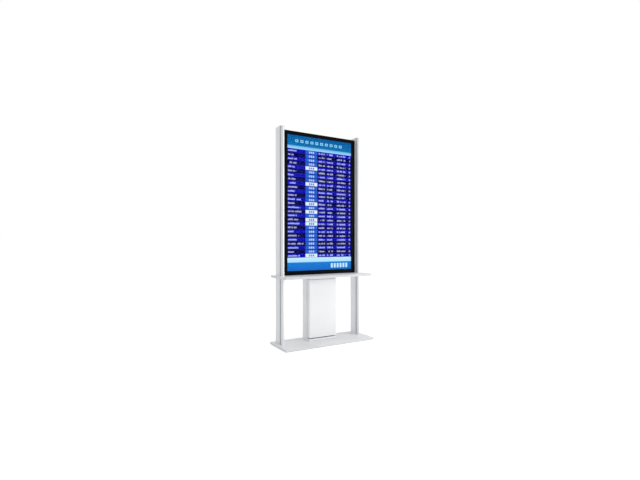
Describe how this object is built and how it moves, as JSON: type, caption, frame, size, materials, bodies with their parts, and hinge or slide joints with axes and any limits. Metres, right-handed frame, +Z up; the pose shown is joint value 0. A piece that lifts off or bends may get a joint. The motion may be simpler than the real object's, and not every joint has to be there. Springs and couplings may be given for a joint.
{
  "type": "touchscreen kiosk",
  "caption": "Free-standing portrait touchscreen between two rounded aluminium posts on a flat base, with a shelf and a slim cabinet with a hinged door.",
  "frame": {"origin": "on the floor under the middle of the base plate", "axes": "+X to the right as a visitor faces the screen, +Y towards the back, +Z up; the screen faces -Y"},
  "size_m": [0.904, 0.334, 1.917],
  "materials": {
    "white_steel": "satin white powder coat",
    "white_board": "satin white laminate on board",
    "aluminium": "satin anodised",
    "zinc_steel": "zinc plated",
    "bare_steel": "bright steel",
    "chrome": "polished",
    "black_plastic": "satin black",
    "black_steel": "fine textured black powder coat",
    "rubber": "matt",
    "grey_rubber": "matt",
    "glass": "clear toughened",
    "picture": "lit picture",
    "diffuser": "white diffuser",
    "circuit_board": "green solder mask"
  },
  "bodies": {
    "frame": {"base_plate": "white_steel", "pad_front_left": "rubber", "pad_rear_left": "rubber", "pad_front_right": "rubber", "pad_rear_right": "rubber", "post_left": "aluminium", "post_right": "aluminium", "nose_cover_left": "aluminium", "nose_cover_right": "aluminium", "post_seal_left": "grey_rubber", "post_seal_right": "grey_rubber", "post_cap_left": "aluminium", "post_cap_right": "aluminium", "post_foot_left": "zinc_steel", "post_foot_right": "zinc_steel", "post_bolt_left_1": "bare_steel", "post_bolt_left_2": "bare_steel", "post_bolt_right_1": "bare_steel", "post_bolt_right_2": "bare_steel", "shelf": "white_board", "shelf_bracket_left": "zinc_steel", "shelf_bracket_right": "zinc_steel", "cable_grommet": "rubber", "touch_frame": "black_plastic", "touch_glass": "glass", "lcd_panel": "picture", "backlight": "diffuser", "display_chassis": "zinc_steel", "display_rear_cover": "black_steel", "main_board": "circuit_board", "power_board": "circuit_board", "touch_controller": "circuit_board", "speaker_left": "black_plastic", "speaker_right": "black_plastic", "cross_rail_lower": "zinc_steel", "cross_rail_upper": "zinc_steel", "display_hanger_left": "black_steel", "display_hanger_right": "black_steel", "cabinet_body": "white_steel", "cabinet_plinth": "white_steel", "cabinet_rear_panel": "white_steel", "hinge_leaf_cabinet": "white_steel", "hinge_pin": "bare_steel", "lock_stud": "bare_steel", "equipment_plate": "zinc_steel", "media_player": "black_steel", "power_supply": "black_plastic", "mains_inlet": "black_plastic", "switch_housing": "black_plastic", "fan_frame": "black_plastic", "fan_guard": "bare_steel"},
    "door": {"door_skin": "white_steel", "door_rim": "white_steel", "hinge_leaf_door": "white_steel", "lock_body": "chrome"},
    "lock": {"lock_plug": "chrome", "lock_hook": "bare_steel"},
    "button": {"power_button": "bare_steel"},
    "switch": {"inlet_switch": "black_plastic"},
    "fan": {"fan_rotor": "black_plastic"}
  },
  "joints": [
    {"name": "door_hinge", "type": "hinge", "parent": "frame", "child": "door", "pos_m": [-0.1442, 0.047, 0.317], "axis": [0, 0, -1], "range_deg": [0, 110]},
    {"name": "lock_turn", "type": "hinge", "parent": "door", "child": "lock", "pos_m": [0.13, 0.03, 0.318], "axis": [-1, 0, 0], "range_deg": [0, 90]},
    {"name": "button_press", "type": "slide", "parent": "frame", "child": "button", "axis": [0, 0, -1], "range_m": [0, 0.0015], "stiffness_N_per_m": 300, "springref_m": -0.001},
    {"name": "switch_rock", "type": "hinge", "parent": "frame", "child": "switch", "pos_m": [0.068, 0.1391, 0.085], "axis": [1, 0, 0], "range_deg": [0, 16]},
    {"name": "fan_spin", "type": "hinge", "parent": "frame", "child": "fan", "pos_m": [0, 0.1225, 0.505], "axis": [0, 1, 0], "continuous": true}
  ]
}
